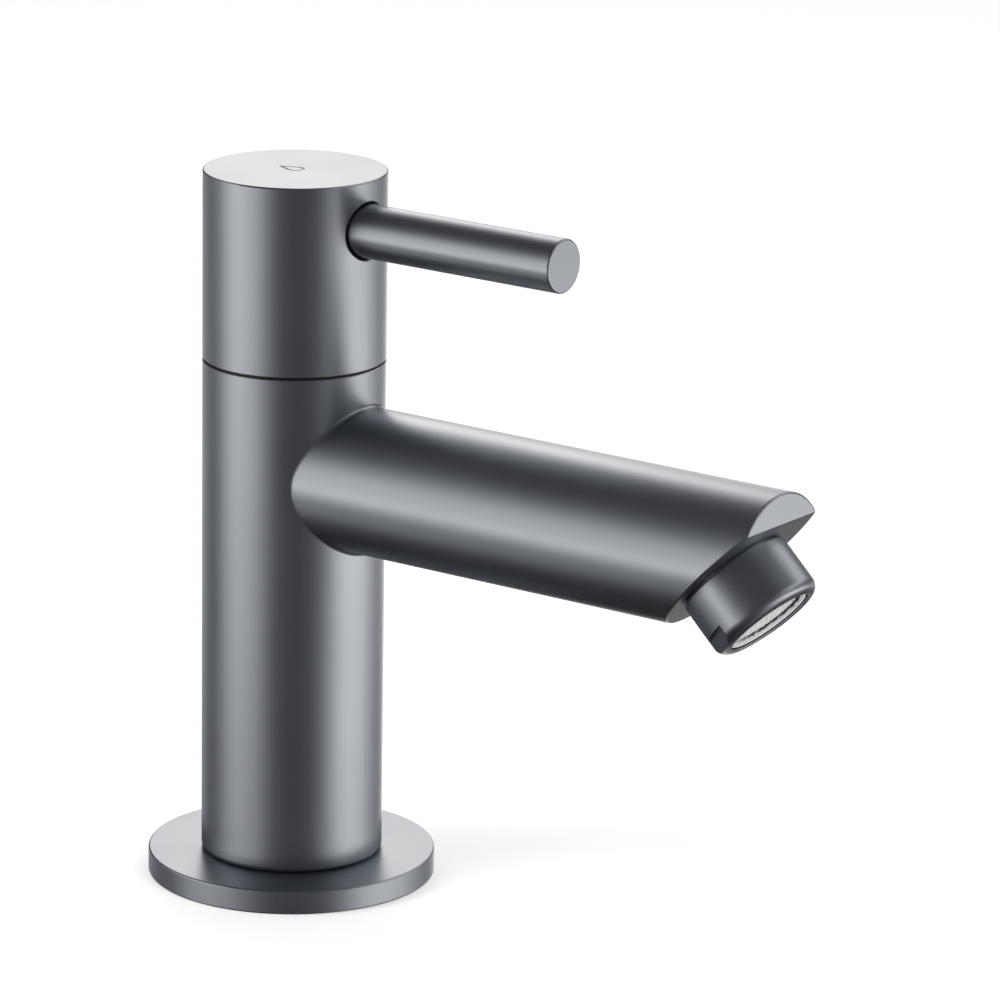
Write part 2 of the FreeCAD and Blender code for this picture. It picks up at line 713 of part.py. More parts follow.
def make_seat_gasket():
    inner = "(waterway_radius + groove_gap)"
    outer = "(cup_bore - fit_gap)"
    return turned("seat_gasket", [
        (inner, SEAT), (outer, SEAT), (outer, FIXED_DISC), (inner, FIXED_DISC)])


def make_spindle():
    """The spindle: tang, stop flange, two ring grooves, a clip groove, splines and a tapped hole."""
    bottom = f"({STOP_FLANGE})"
    lower_end = f"({LOWER_GROOVE} + ring_groove_width)"
    upper_end = f"({UPPER_GROOVE} + ring_groove_width)"
    clip_end = f"({CLIP} + clip_height + axial_play)"
    hole = "(screw_radius + fit_gap)"
    hole_floor = f"({SPINDLE_TOP} - screw_hole_depth)"
    shaft = turned("spindle_shaft", [
        ("0", bottom), ("spindle_radius", bottom),
        ("spindle_radius", LOWER_GROOVE), ("ring_groove_radius", LOWER_GROOVE),
        ("ring_groove_radius", lower_end), ("spindle_radius", lower_end),
        ("spindle_radius", UPPER_GROOVE), ("ring_groove_radius", UPPER_GROOVE),
        ("ring_groove_radius", upper_end), ("spindle_radius", upper_end),
        ("spindle_radius", CLIP), ("clip_groove_radius", CLIP),
        ("clip_groove_radius", clip_end), ("spindle_radius", clip_end),
        ("spindle_radius", HUB_BOTTOM), ("spline_radius", HUB_BOTTOM),
        ("spline_radius", SPINDLE_TOP), (hole, SPINDLE_TOP), (hole, hole_floor), ("0", hole_floor)])
    notch = new_sketch(shaft, "spline_outline", "XY_Plane", lift=SPINDLE_TOP)
    rectangle(notch, "spline_radius - spline_depth", "spline_radius + spline_depth",
              "0 - spline_width / 2", "spline_width / 2")
    groove = extrude(shaft, notch, "spline_groove", "spline_length")
    around(shaft, groove, "splines", SPLINES)

    # The stop flange leaves a gap that turns past the valve body's stop key.
    flange_angle = "(360 - turn_angle - stop_key_angle - 2 * stop_slack)"
    flange = cylinder("stop_flange", "cup_bore - disc_gap", "stop_flange_height", STOP_FLANGE,
                      flange_angle, "90 - turn_angle / 2")
    tang = block("tang", ("disc_gap - cup_bore", "cup_bore - disc_gap"),
                 ("0 - tang_width / 2", "tang_width / 2"),
                 (f"{STOP_FLANGE} - axial_play - tang_depth", f"{STOP_FLANGE} + axial_play"))
    doc.recompute()
    return joined("spindle", [shaft, flange, tang])


def make_spindle_o_rings():
    section = "(spindle_radius - ring_groove_radius) / 2"
    rings = []
    for name, groove in (("spindle_o_ring_lower", LOWER_GROOVE), ("spindle_o_ring_upper", UPPER_GROOVE)):
        rings.append(torus(name, f"ring_groove_radius + {section}", section,
                           f"{groove} + ring_groove_width / 2"))
    return rings


def make_headwork_o_ring():
    centre = "(relief_radius + recess_radius) / 2"
    return torus("headwork_o_ring", centre, "valve_ring_section", f"({RECESS_FLOOR} + column_top) / 2")


def make_friction_washer():
    bore = f"({SPINDLE_BORE} + groove_gap)"
    top = f"({VALVE_TOP} + washer_height)"
    return turned("friction_washer", [
        (bore, VALVE_TOP), ("washer_radius", VALVE_TOP), ("washer_radius", top), (bore, top)])


def make_spindle_clip():
    """An open spring ring in the spindle's groove."""
    ring = cylinder("clip_blank", "clip_radius", "clip_height", CLIP)
    bore = cylinder("clip_bore", "clip_groove_radius + fit_gap", "clip_height", CLIP)
    mouth = block("clip_opening", ("0", "2 * clip_radius"), ("0 - clip_mouth / 2", "clip_mouth / 2"),
                  (CLIP, f"{CLIP} + clip_height"))
    doc.recompute()
    return cut_away("spindle_clip", ring, [bore, mouth])


def make_glide_ring():
    """The plastic ring in the seam: a thin flange with a sleeve that centres the turning cap."""
    bore = "(collar_radius + fit_gap)"
    sleeve = f"({CAP_BORE} - running_gap)"
    rim = "(column_radius - glide_inset)"
    shelf = "(column_top + glide_height)"
    top = "(column_top + glide_rise)"
    return turned("glide_ring", [
        (bore, "column_top"), (rim, "column_top"), (rim, shelf), (sleeve, shelf), (sleeve, top),
        (bore, top)])


def make_handle_hub():
    """The splined hub, with a well for its screw and a threaded side hole for the lever."""
    bore = "(spline_radius + fit_gap)"
    hole = "(screw_radius + groove_gap)"
    body = turned("handle_hub", [
        (bore, HUB_BOTTOM), ("hub_boss_radius", HUB_BOTTOM), ("hub_boss_radius", WEB_BOTTOM),
        (HUB_RADIUS, WEB_BOTTOM), (HUB_RADIUS, HUB_TOP), ("hub_well", HUB_TOP),
        ("hub_well", WEB_TOP), (hole, WEB_TOP), (hole, WEB_BOTTOM), (bore, WEB_BOTTOM)])
    thread = new_sketch(body, "lever_thread_circle", "YZ_Plane")
    circle(thread, "tail_radius + fit_gap", y=LEVER_HEIGHT)
    extrude(body, thread, "lever_thread", "column_radius", reverse=True)
    face = new_sketch(body, "lever_seat_circle", "YZ_Plane", lift="lever_seat")
    circle(face, "lever_radius + groove_gap", y=LEVER_HEIGHT)
    extrude(body, face, "lever_seat_face", "column_radius", reverse=True)
    return body


def make_hub_screw():
    """A socket-head screw from the hub's well into the spindle."""
    top = f"({WEB_TOP} + screw_head_height)"
    tip = f"({WEB_TOP} - screw_length)"
    body = turned("hub_screw", [
        ("0", tip), ("screw_radius", tip), ("screw_radius", WEB_TOP), ("screw_head_radius", WEB_TOP),
        ("screw_head_radius", top), ("0", top)])
    socket = new_sketch(body, "socket_outline", "XY_Plane", lift=top)
    outline(socket, [(f"screw_socket * cos({60 * i})", f"screw_socket * sin({60 * i})") for i in range(6)])
    extrude(body, socket, "screw_socket_cut", "screw_head_height / 2")
    return body


def make_handle_cap():
    """The hollow turning cap, with the lever's clearance hole and a drop mark cut in its top."""
    body = turned("handle_cap", [
        (CAP_BORE, CAP_BOTTOM), ("column_radius", CAP_BOTTOM), ("column_radius", "total_height"),
        ("0", "total_height"), ("0", CAP_CEILING), (CAP_BORE, CAP_CEILING)])
    soften(body, "cap_top_edge", rims(body, "column_radius", "total_height"), "cap_edge")
    soften(body, "cap_bottom_edge", rims(body, "column_radius", CAP_BOTTOM), "column_edge", "Chamfer")
    hole = new_sketch(body, "lever_hole_circle", "YZ_Plane")
    circle(hole, "lever_radius + lever_gap", y=LEVER_HEIGHT)
    extrude(body, hole, "lever_hole", "2 * column_radius", reverse=True)
    mouth = []
    for number, edge in enumerate(body.Tip.Shape.Edges, 1):
        middle = edge.valueAt((edge.FirstParameter + edge.LastParameter) / 2)
        on_outside = abs(math.hypot(middle.x, middle.y) - value("column_radius")) < SOLVED
        if on_outside and abs(middle.z - value(LEVER_HEIGHT)) < value("lever_radius + 1"):
            if not isinstance(edge.Curve, (Part.Line, Part.Circle)):
                mouth.append(f"Edge{number}")
    soften(body, "lever_hole_rounding", mouth, "lever_hole_edge")
    mark = new_sketch(body, "drop_outline", "XY_Plane", lift="total_height", angle="90")
    drop(mark, "drop_radius", "drop_tip")
    drop(mark, "(drop_radius - drop_line)", "(drop_tip - drop_line * drop_tip / drop_radius)")
    extrude(body, mark, "drop_mark", "drop_depth")
    return body


def drop(sketch, radius, tip):
    """A water-drop outline: an arc about the origin and two lines that touch it and meet at the tip."""
    round_radius = value(radius)
    height = value(tip)
    lean = math.acos(round_radius / height)
    up = math.pi / 2
    arc = Part.ArcOfCircle(Part.Circle(Vector(0, 0, 0), Vector(0, 0, 1), round_radius),
                           up + lean, up - lean + 2 * math.pi)
    left = Vector(round_radius * math.cos(up + lean), round_radius * math.sin(up + lean), 0)
    right = Vector(-left.x, left.y, 0)
    point = Vector(0, height, 0)
    edges = [arc, Part.LineSegment(right, point), Part.LineSegment(point, left)]
    first = sketch.addGeometry(edges, False)[0]
    sketch.addConstraint(Sketcher.Constraint("Coincident", first, 3, -1, 1))
    sketch.addConstraint(Sketcher.Constraint("Coincident", first + 1, 2, first + 2, 1))
    sketch.addConstraint(Sketcher.Constraint("PointOnObject", first + 1, 2, -2))
    sketch.addConstraint(Sketcher.Constraint("Tangent", first, 2, first + 1, 1))
    sketch.addConstraint(Sketcher.Constraint("Tangent", first, 1, first + 2, 2))
    reach = sketch.addConstraint(Sketcher.Constraint("DistanceY", -1, 1, first + 1, 2, height))
    sketch.setExpression(f"Constraints[{reach}]", bound(tip))
    size = sketch.addConstraint(Sketcher.Constraint("Radius", first, round_radius))
    sketch.setExpression(f"Constraints[{size}]", bound(radius))


def make_lever_rod():
    """The lever: a threaded tail and a plain round rod, laid along the spout."""
    body = turned("lever_rod", [
        ("0", "lever_seat - tail_length"), ("tail_radius", "lever_seat - tail_length"),
        ("tail_radius", "lever_seat"), ("lever_radius", "lever_seat"),
        ("lever_radius", "lever_reach"), ("0", "lever_reach")])
    soften(body, "lever_end", rims(body, "lever_radius", "lever_reach"), "lever_edge")
    place(body, z=LEVER_HEIGHT, axis="0; 1; 0", angle="90")
    return body


def make_tap():
    return [
        make_base_flange(), make_deck_gasket(), make_foot_plug(), make_foot_o_ring(),
        make_column(), make_spout(),
        make_aerator_housing(), make_aerator_gasket(), make_aerator_sleeve(),
        make_mesh("outlet_mesh", MESH_LEVEL, "0"),
        make_mesh("inner_mesh", f"({MESH_LEVEL} - mesh_thickness - mesh_spacing)", "45"),
        make_jet_plate(), make_inlet_strainer(),
        make_headwork_body(), make_headwork_o_ring(), make_seat_gasket(),
        make_fixed_disc(), make_moving_disc(), make_spindle(), *make_spindle_o_rings(),
        make_friction_washer(), make_spindle_clip(),
        make_glide_ring(), make_handle_hub(), make_hub_screw(), make_handle_cap(),
        make_lever_rod(),
    ]


def check_document():
    for item in doc.Objects:
        if "Invalid" in item.State or "Error" in item.State:
            raise RuntimeError(f"{item.Label} failed: {item.State}")


def write_parts(nodes):
    for node in nodes:
        if node.Shape.isNull() or not node.Shape.isValid():
            raise RuntimeError(f"{node.Label} has no valid shape")
    os.makedirs("parts", exist_ok=True)
    for node in nodes:
        node.Shape.exportStep(f"parts/{node.Label}.step")
        print(f"{node.Label}: {len(node.Shape.Solids)} solid, {node.Shape.Volume:.1f} mm3")


tap = make_tap()
doc.recompute()
check_document()
write_parts(tap)
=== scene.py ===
import math

import bmesh
import bpy
from mathutils import Matrix, Vector


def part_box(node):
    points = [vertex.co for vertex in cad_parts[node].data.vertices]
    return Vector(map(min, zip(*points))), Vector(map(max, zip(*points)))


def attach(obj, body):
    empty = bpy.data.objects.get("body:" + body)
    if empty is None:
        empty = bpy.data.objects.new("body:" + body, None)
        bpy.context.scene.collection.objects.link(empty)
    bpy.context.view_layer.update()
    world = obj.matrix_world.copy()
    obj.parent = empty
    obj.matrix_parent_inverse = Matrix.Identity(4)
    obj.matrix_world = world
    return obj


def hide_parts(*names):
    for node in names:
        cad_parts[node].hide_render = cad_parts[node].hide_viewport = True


bl_info = {
    "name": "Basin Tap Look",
    "version": (1, 0, 0),
    "blender": (4, 5, 0),
    "location": "View3D > Sidebar > Basin Tap",
    "description": "Finishes, small pieces and the studio of a quarter-turn basin tap",
    "category": "Object",
}

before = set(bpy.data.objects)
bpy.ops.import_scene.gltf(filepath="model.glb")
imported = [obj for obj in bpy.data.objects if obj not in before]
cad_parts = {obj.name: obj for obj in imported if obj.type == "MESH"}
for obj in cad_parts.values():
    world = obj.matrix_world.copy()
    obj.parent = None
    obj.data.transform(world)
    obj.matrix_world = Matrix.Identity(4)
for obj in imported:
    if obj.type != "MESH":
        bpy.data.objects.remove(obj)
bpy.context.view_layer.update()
MM = 0.001
DEGREE = math.radians(1)
QUARTER_TURN = math.radians(90)

# How metallic the metals are: the silver is nearly matt
METALLIC, SILVER_METALLIC = 1.0, 0.05

# The angle past which an edge of a piece is sharp, and the sides of the tent and the floor
SHARP_ANGLE = math.radians(35)
ROUND_SIDES = 96

# Which finish each CAD node has
PLATED = ("base_flange", "column", "spout", "handle_cap", "lever_rod", "handle_hub")
BRASS = ("foot_plug", "headwork_body", "spindle")
RUBBER = ("deck_gasket", "foot_o_ring", "aerator_gasket", "seat_gasket", "headwork_o_ring",
          "spindle_o_ring_lower", "spindle_o_ring_upper")
PLASTIC = ("jet_plate", "inlet_strainer", "friction_washer")
CERAMIC = ("fixed_disc", "moving_disc")
STEEL = ("hub_screw", "spindle_clip")
SILVER = ("aerator_sleeve", "outlet_mesh", "inner_mesh")

# The studio's tent is a drum of cloth that the plating reflects. Each soft box behind it has an
# azimuth from the camera and an elevation, half a width and half a height, the width of its faded
# sides and ends, all in degrees, and a brightness.
SOFT_BOXES = {
    "left_box": (-81.0, 8.6, 14.6, 7.2, 73.8, 49.5, 3.09),
    "right_box": (66.2, -8.8, 11.0, 59.4, 31.1, 50.8, 0.41),
    "back_box": (-175.6, 25.5, 5.0, 13.6, 19.5, 14.1, 3.32),
    "back_strip": (178.7, -14.0, 36.9, 6.9, 62.5, 15.3, 1.00),
    "back_glow": (171.8, -18.1, 6.0, 29.2, 22.4, 43.5, 2.42),
    "right_strip": (82.7, -14.8, 30.3, 5.0, 53.6, 14.0, 3.38),
    "left_glow": (-83.9, -35.2, 7.9, 5.0, 41.6, 14.0, 0.96),
    "left_strip": (-62.9, -11.3, 26.9, 5.0, 32.4, 14.0, 2.13),
    "back_roof": (158.4, 42.0, 46.4, 5.0, 24.4, 14.0, 1.67),
    "side_box": (108.5, 25.7, 36.6, 6.3, 32.3, 16.2, 1.52),
}

# The tent's own brightness at its wall, above and below, and the degrees from the horizon where
# above and below start, with the width of their fade
TENT_LEVEL, TENT_ROOF, TENT_FLOOR = 0.092, 0.072, 0.028
TENT_ROOF_START, TENT_FLOOR_START, TENT_FADE = 35, 30, 20

# The tent's light is cooler where it's dim and warmer where it's bright
TENT_DIM, TENT_BRIGHT = (0.99, 1.0, 1.015, 1), (1.045, 1.0, 0.925, 1)
TENT_DIM_LEVEL, TENT_BRIGHT_LEVEL = 0.2, 1.4
TENT_CENTRE, TENT_RADIUS, TENT_HALF_HEIGHT = (0.03, 0.0, 0.07), 1.2, 2.5

# Each lamp's name, its place and size in metres and its power in watts, and the point that all
# of them face
LAMPS = (("key_lamp", (-0.6, -0.9, 1.1), 0.9, 9),
         ("fill_lamp", (1.2, -0.2, 0.8), 0.9, 5),
         ("top_lamp", (0.0, 0.5, 1.6), 1.2, 9))
LAMP_AIM = (0.03, 0, 0.06)

# The world's strength where it lights matt surfaces, the floor's radius in metres and its glow to
# the camera, and the camera's sensor in millimetres and its nearest and farthest view in metres
WORLD_LIGHT = 0.35
FLOOR_RADIUS, FLOOR_GLOW = 6, 0.3
SENSOR_WIDTH, CAMERA_CLIP = 36, (0.05, 30)

# The sides of a woven wire, and its steps for each pitch
WIRE_SIDES, WIRE_STEPS = 8, 6

# The aerator's two places of painted shade, inside the collar's lip and where the wires meet the
# sleeve, fade between these distances in millimetres: from its axis, along it from the outlet
# mesh, and for the seam's painted shade also across the tap. That shade's edge rises and falls by
# its wave.
# The shades are how much of the colour is left there.
LIP_RADII, LIP_LEVELS, LIP_SHADE = (7.7, 7.82), (0.92, 1.04), 0.08
SEAM_SHADE_RADII, SEAM_SHADE_LEVELS, SEAM_SHADE_SIDES = (6.1, 6.5), (0.08, 0.3), (-2, 3.5)
SEAM_SHADE_WAVE, SEAM_SHADE_FACTOR = 1.2, 0.1


# Shader maths

class Socket:
    """A shader output that takes Python's arithmetic and adds the Math nodes for it."""

    def __init__(self, nodes, output):
        self.nodes = nodes
        self.output = output

    def math(self, operation, *values):
        return self.nodes.add("ShaderNodeMath", {"operation": operation}, *values)

    def __add__(self, other):
        return self.math("ADD", self, other)

    def __sub__(self, other):
        return self.math("SUBTRACT", self, other)

    def __rsub__(self, other):
        return self.math("SUBTRACT", other, self)

    def __mul__(self, other):
        return self.math("MULTIPLY", self, other)

    __radd__ = __add__
    __rmul__ = __mul__


class Nodes:
    """The node tree of one material or world, emptied and ready to be wired."""

    def __init__(self, owner):
        owner.use_nodes = True
        self.tree = owner.node_tree
        self.tree.nodes.clear()

    def add(self, kind, settings=None, *values, **named):
        """Adds a node with its settings and sockets, and gives its first output."""
        node = self.tree.nodes.new(kind)
        for name, setting in (settings or {}).items():
            setattr(node, name, setting)
        for index, value in enumerate(values):
            self.fill(node.inputs[index], value)
        for name, value in named.items():
            self.fill(node.inputs[name.replace("_", " ")], value)
        return Socket(self, node.outputs[0]) if node.outputs else node

    def fill(self, socket, value):
        if isinstance(value, Socket):
            self.tree.links.new(value.output, socket)
        elif value is not None:
            socket.default_value = value

    def other(self, socket, name):
        """Another output of the node that a socket belongs to."""
        return Socket(self, socket.output.node.outputs[name])

    def part(self, vector, axis):
        """One of a vector's three numbers."""
        return self.other(self.add("ShaderNodeSeparateXYZ", None, vector), axis)

    def place(self, scale=(1, 1, 1), centre=(0, 0, 0)):
        """Object coordinates in metres, centred and scaled."""
        point = self.other(self.add("ShaderNodeTexCoord"), "Object")
        shift = tuple(-c * s for c, s in zip(centre, scale))
        return self.add("ShaderNodeMapping", None, point, shift, (0, 0, 0), scale)

    def noise(self, point, scale, detail, roughness=0.5):
        return self.add("ShaderNodeTexNoise", None, Vector=point, Scale=scale, Detail=detail,
                        Roughness=roughness)

    def tint(self, factor, low, high):
        """A colour between two, by a factor."""
        mixed = self.add("ShaderNodeMix", {"data_type": "RGBA"})
        node = mixed.output.node
        self.fill(node.inputs["Factor"], factor)
        self.fill(node.inputs[6], low)
        self.fill(node.inputs[7], high)
        return Socket(self, node.outputs[2])

    def step(self, value, start, stop, unit):
        """A soft step from 0 to 1 between two values given in a unit."""
        return self.add("ShaderNodeMapRange", {"interpolation_type": "SMOOTHSTEP"}, value,
                        start * unit, stop * unit, 0.0, 1.0)

    def bump(self, height, strength, distance):
        return self.add("ShaderNodeBump", None, Height=height, Strength=strength,
                        Distance=distance)

    def surface(self, shader):
        self.add("ShaderNodeOutputMaterial", None, shader)

    def coat(self, colour, roughness, normal, metallic=0.0):
        """The finish of a piece, with its colour, softness and grain."""
        self.surface(self.add("ShaderNodeBsdfPrincipled", None, Base_Color=colour,
                              Metallic=metallic, Roughness=roughness, Normal=normal))


def shade(colour, factor):
    """A colour made lighter or darker by a factor."""
    return tuple(c * factor for c in colour[:3]) + (1,)


def new_finish(name):
    """A new material and its empty node tree."""
    material = bpy.data.materials.new(name)
    return material, Nodes(material)


def aerator_place(nodes):
    """How far a point lies along the aerator's axis from the outlet mesh, and how far off it."""
    outlet, lean = aerator_frame()
    point = nodes.place(centre=outlet)
    along = nodes.add("ShaderNodeVectorMath", {"operation": "DOT_PRODUCT"}, point,
                      tuple(lean.to_3x3().col[2]))
    span = nodes.add("ShaderNodeVectorMath", {"operation": "LENGTH"}, point)
    along, span = nodes.other(along, "Value"), nodes.other(span, "Value")
    squared = span * span - along * along
    return along, squared.math("SQRT", squared)


def distance_out(nodes, point):
    """A point's direction out from the upright axis, and its distance from that axis."""
    flat = nodes.add("ShaderNodeCombineXYZ", None, nodes.part(point, "X"), nodes.part(point, "Y"))
    length = nodes.add("ShaderNodeVectorMath", {"operation": "LENGTH"}, flat)
    outward = nodes.add("ShaderNodeVectorMath", {"operation": "NORMALIZE"}, flat)
    return outward, nodes.other(length, "Value")


def lip_painted_shade(nodes):
    """1 low inside the collar's lip, where painted shade darkens its plating, and 0 elsewhere."""
    along, out = aerator_place(nodes)
    return (1 - nodes.step(out, *LIP_RADII, MM)) * (1 - nodes.step(along, *LIP_LEVELS, MM))


def plated_finish(finish, name, painted_shade=None):
    """Satin gunmetal plating: a fine blasted grain, soft clouds, and painted shade in a place if
    given.
    """
    material, nodes = new_finish(name)
    point = nodes.place()
    cloud = nodes.noise(point, 55, 3)
    grain = nodes.noise(point, 6500, 2)
    colour = nodes.tint(cloud, shade(finish.plating, 0.94), shade(finish.plating, 1.06))
    # Painted shade: the plating's colour darkens where the given mask is 1
    if painted_shade:
        colour = nodes.tint(painted_shade(nodes), colour, shade(finish.plating, LIP_SHADE))
    roughness = (cloud - 0.5) * 0.08 + (grain - 0.5) * 0.05 + finish.plating_roughness
    nodes.coat(colour, roughness, nodes.bump(grain, 0.03, 0.00004), METALLIC)
    return material


def brass_finish(finish):
    """Bare machined brass, with turning marks and a dull, slightly uneven tone."""
    material, nodes = new_finish("machined_brass")
    point = nodes.place()
    cloud = nodes.noise(point, 120, 3)
    rings = nodes.noise(nodes.place((40, 40, 4200)), 1, 2)
    colour = nodes.tint(cloud, shade(finish.brass, 0.86), shade(finish.brass, 1.08))
    roughness = (rings - 0.5) * 0.18 + 0.32
    nodes.coat(colour, roughness, nodes.bump(rings, 0.12, 0.00005), METALLIC)
    return material


def steel_finish(finish):
    """Spring steel, a little cloudy."""
    material, nodes = new_finish("spring_steel")
    point = nodes.place()
    cloud = nodes.noise(point, 300, 3)
    colour = nodes.tint(cloud, shade(finish.steel, 0.88), shade(finish.steel, 1.06))
    roughness = (cloud - 0.5) * 0.15 + 0.3
    nodes.coat(colour, roughness, nodes.bump(cloud, 0.1, 0.00003), METALLIC)
    return material


def silver_finish(finish):
    """Pale silver of the aerator's sleeve and wires, with painted shade on one side where they
    meet.
    """
    material, nodes = new_finish("pale_silver")
    point = nodes.place()
    cloud = nodes.noise(point, 900, 2)
    colour = nodes.tint(cloud, shade(finish.silver, 0.94), shade(finish.silver, 1.03))
    along, out = aerator_place(nodes)
    # Painted shade: a dark, wavy line on one side of the sleeve where the wires meet it
    rise = along + (cloud - 0.5) * SEAM_SHADE_WAVE * MM
    across = nodes.part(point, "Y")
    side = nodes.step(across, *SEAM_SHADE_SIDES, MM)
    seam_shade = nodes.step(out, *SEAM_SHADE_RADII, MM) * (1 - nodes.step(rise, *SEAM_SHADE_LEVELS, MM)) * side
    colour = nodes.tint(seam_shade, colour, shade(finish.silver, SEAM_SHADE_FACTOR))
    roughness = (cloud - 0.5) * 0.12 + 0.36
    nodes.coat(colour, roughness, nodes.bump(cloud, 0.05, 0.00002), SILVER_METALLIC)
    return material


def rubber_finish(finish):
    """Black rubber with a trace of dust."""
    material, nodes = new_finish("black_rubber")
    point = nodes.place()
    dust = nodes.noise(point, 700, 4, 0.6)
    colour = nodes.tint(dust, shade(finish.rubber, 0.8), shade(finish.rubber, 1.5))
    roughness = (dust - 0.5) * 0.2 + 0.62
    nodes.coat(colour, roughness, nodes.bump(dust, 0.2, 0.00005))
    return material


def plastic_finish(name, colour, roughness):
    """Moulded plastic with a fine mould grain."""
    material, nodes = new_finish(name)
    grain = nodes.noise(nodes.place(), 2600, 3)
    tone = nodes.tint(grain, shade(colour, 0.95), shade(colour, 1.03))
    nodes.coat(tone, (grain - 0.5) * 0.12 + roughness, nodes.bump(grain, 0.12, 0.00003))
    return material


def ceramic_finish(finish):
    """Lapped alumina: off-white, faintly speckled, with a soft shine."""
    material, nodes = new_finish("lapped_ceramic")
    point = nodes.place()
    speck = nodes.noise(point, 1500, 4, 0.7)
    colour = nodes.tint(speck, shade(finish.ceramic, 0.93), shade(finish.ceramic, 1.04))
    nodes.coat(colour, (speck - 0.5) * 0.1 + 0.22, nodes.bump(speck, 0.05, 0.00002))
    return material


def give(material, *names):
    """Puts a material on every slot of some CAD nodes."""
    for name in names:
        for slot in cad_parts[name].material_slots:
            slot.link = "OBJECT"
            slot.material = material


# Pieces

def aerator_frame():
    """The middle of the outlet mesh, and the lean whose Z runs out of the slanted face."""
    mesh_low, mesh_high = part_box("outlet_mesh")
    gasket_low, gasket_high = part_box("aerator_gasket")
    outlet = (mesh_low + mesh_high) / 2
    inlet = (gasket_low + gasket_high) / 2
    axis = (outlet - inlet).normalized()
    turn = Vector((0, 0, 1)).rotation_difference(axis)
    return outlet, turn.to_matrix().to_4x4()


def new_piece(name, mesh, material, body, replaced=()):
    """Makes a finished bmesh an object that rides on a body and stands for CAD nodes."""
    bmesh.ops.recalc_face_normals(mesh, faces=mesh.faces)
    data = bpy.data.meshes.new(name)
    mesh.to_mesh(data)
    mesh.free()
    data.materials.append(material)
    for face in data.polygons:
        face.use_smooth = True
    data.set_sharp_from_angle(angle=SHARP_ANGLE)
    piece = bpy.data.objects.new(name, data)
    bpy.context.scene.collection.objects.link(piece)
    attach(piece, body)
    if replaced:
        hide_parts(*replaced)


# Properties

class TapFinishSettings(bpy.types.PropertyGroup):
    plating: bpy.props.FloatVectorProperty(
        name="Plating", description="Colour of the satin gunmetal plating", subtype="COLOR",
        size=3, min=0, max=1, default=(0.391, 0.42, 0.473))
    plating_roughness: bpy.props.FloatProperty(
        name="Plating roughness", description="How soft the plating's reflections are",
        subtype="FACTOR", min=0.05, max=1, default=0.38)
    brass: bpy.props.FloatVectorProperty(
        name="Brass", description="Colour of the bare brass inside", subtype="COLOR",
        size=3, min=0, max=1, default=(0.71, 0.53, 0.25))
    steel: bpy.props.FloatVectorProperty(
        name="Steel", description="Colour of the screw and the clip",
        subtype="COLOR", size=3, min=0, max=1, default=(0.50, 0.50, 0.50))
    silver: bpy.props.FloatVectorProperty(
        name="Silver", description="Colour of the aerator's sleeve and wires", subtype="COLOR",
        size=3, min=0, max=1, default=(0.95, 0.95, 0.96))
    rubber: bpy.props.FloatVectorProperty(
        name="Rubber", description="Colour of the seals", subtype="COLOR",
        size=3, min=0, max=1, default=(0.022, 0.022, 0.024))
    ceramic: bpy.props.FloatVectorProperty(
        name="Ceramic", description="Colour of the valve's discs", subtype="COLOR",
        size=3, min=0, max=1, default=(0.84, 0.83, 0.78))
    nylon: bpy.props.FloatVectorProperty(
        name="Nylon", description="Colour of the aerator's moulded plastic", subtype="COLOR",
        size=3, min=0, max=1, default=(0.78, 0.79, 0.80))
    glide: bpy.props.FloatVectorProperty(
        name="Glide ring", description="Colour of the plastic ring in the seam", subtype="COLOR",
        size=3, min=0, max=1, default=(0.02, 0.02, 0.022))


class AeratorSettings(bpy.types.PropertyGroup):
    wire: bpy.props.FloatProperty(
        name="Wire", description="Diameter of the wires in the outlet mesh", unit="LENGTH",
        min=0.0001, max=0.0006, default=0.00027)
    pitch: bpy.props.FloatProperty(
        name="Pitch", description="Distance between the wires", unit="LENGTH",
        min=0.0004, max=0.003, default=0.00075)
    wave: bpy.props.FloatProperty(
        name="Wave", description="How far a wire rises and falls as it crosses the others",
        unit="LENGTH", min=0.0, max=0.001, default=0.00013)
    drop: bpy.props.FloatProperty(
        name="Drop", description="How much deeper the wires lie than the flat mesh",
        unit="LENGTH", min=0.0, max=0.001, default=0.0002)


class StudioSettings(bpy.types.PropertyGroup):
    azimuth: bpy.props.FloatProperty(
        name="Azimuth", description="The camera's angle round the tap", subtype="ANGLE",
        unit="ROTATION", default=math.radians(35.975))
    elevation: bpy.props.FloatProperty(
        name="Elevation", description="The camera's angle above the horizon", subtype="ANGLE",
        unit="ROTATION", default=math.radians(15.574))
    roll: bpy.props.FloatProperty(
        name="Roll", description="The camera's turn about its own line of sight", subtype="ANGLE",
        unit="ROTATION", default=math.radians(0.92))
    distance: bpy.props.FloatProperty(
        name="Distance", description="From the camera to the point that it looks at",
        unit="LENGTH", min=0.2, default=0.9804)
    lens: bpy.props.FloatProperty(
        name="Lens", description="Focal length in millimetres", min=20, default=205.02)
    aim_side: bpy.props.FloatProperty(
        name="Aim to the side", description="How far right of the column the camera looks",
        unit="LENGTH", default=0.03553)
    aim_height: bpy.props.FloatProperty(
        name="Aim height", description="The height that the camera looks at", unit="LENGTH",
        default=0.06731)
    floor: bpy.props.FloatVectorProperty(
        name="Floor", description="Colour of the floor", subtype="COLOR", size=3, min=0, max=1,
        default=(0.9, 0.9, 0.9))


# Operators

class TAP_OT_plated_pieces(bpy.types.Operator):
    """Give the outside pieces their satin gunmetal plating"""
    bl_idname = "basin_tap.plated_pieces"
    bl_label = "Plated Pieces"

    def execute(self, context):
        finish = context.scene.tap_finish
        give(plated_finish(finish, "satin_gunmetal"), *PLATED)
        # The collar's plating has painted shade inside its lip
        give(plated_finish(finish, "collar_gunmetal", lip_painted_shade), "aerator_housing")
        return {"FINISHED"}


